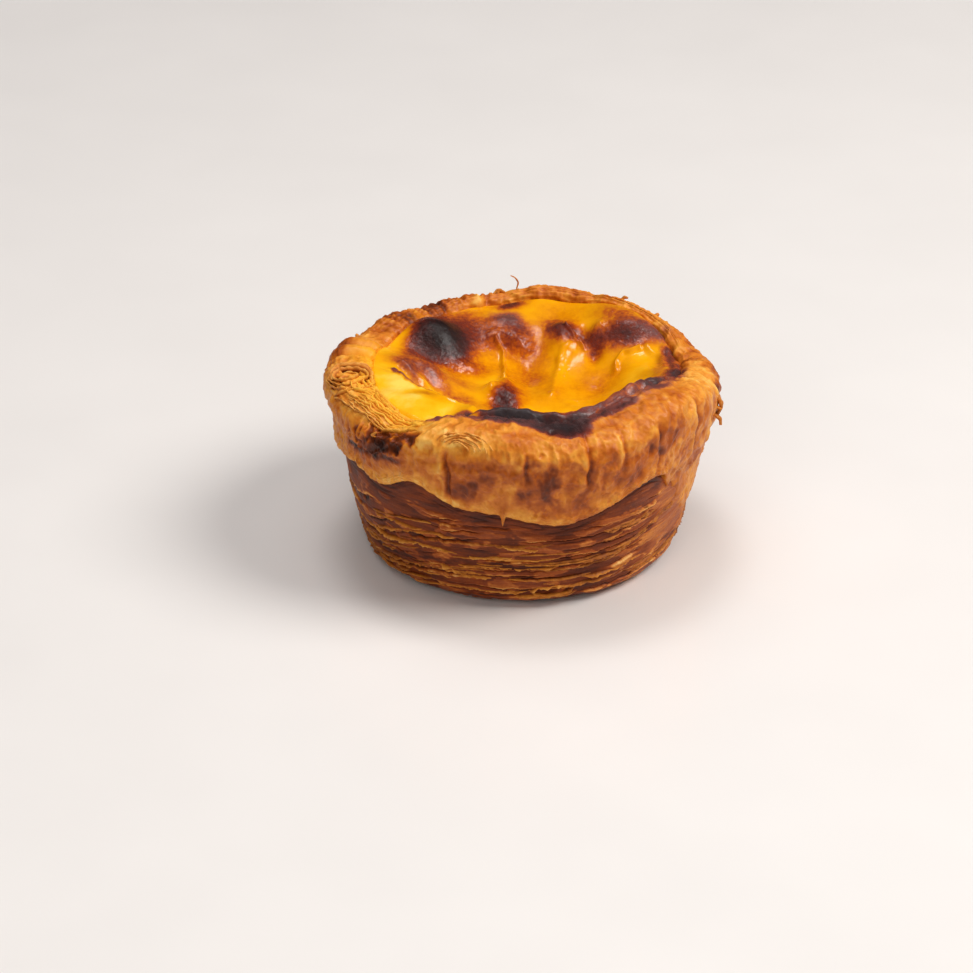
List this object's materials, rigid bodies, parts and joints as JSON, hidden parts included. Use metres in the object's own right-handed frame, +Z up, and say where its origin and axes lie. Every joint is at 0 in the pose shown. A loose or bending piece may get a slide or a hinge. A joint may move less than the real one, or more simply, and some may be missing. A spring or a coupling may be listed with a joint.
{
  "type": "portuguese custard tart",
  "caption": "Round tart: a laminated pastry case with a rolled, uneven rim, filled with sunken baked custard that has browned and burnt spots.",
  "frame": {"origin": "centre of the tart's box on the plane that it rests on", "axes": "+Z up, -Y towards the tall front of the rim, -X towards the swirl where the roll of dough ends"},
  "size_m": [0.076, 0.0754, 0.0398],
  "materials": {
    "baked_pastry": "flaky laminated dough, golden brown, dry with a faint butter sheen",
    "baked_custard": "glossy set custard with browned and burnt skin"
  },
  "bodies": {
    "root": {"pastry_case": "baked_pastry", "custard": "baked_custard"}
  },
  "joints": []
}
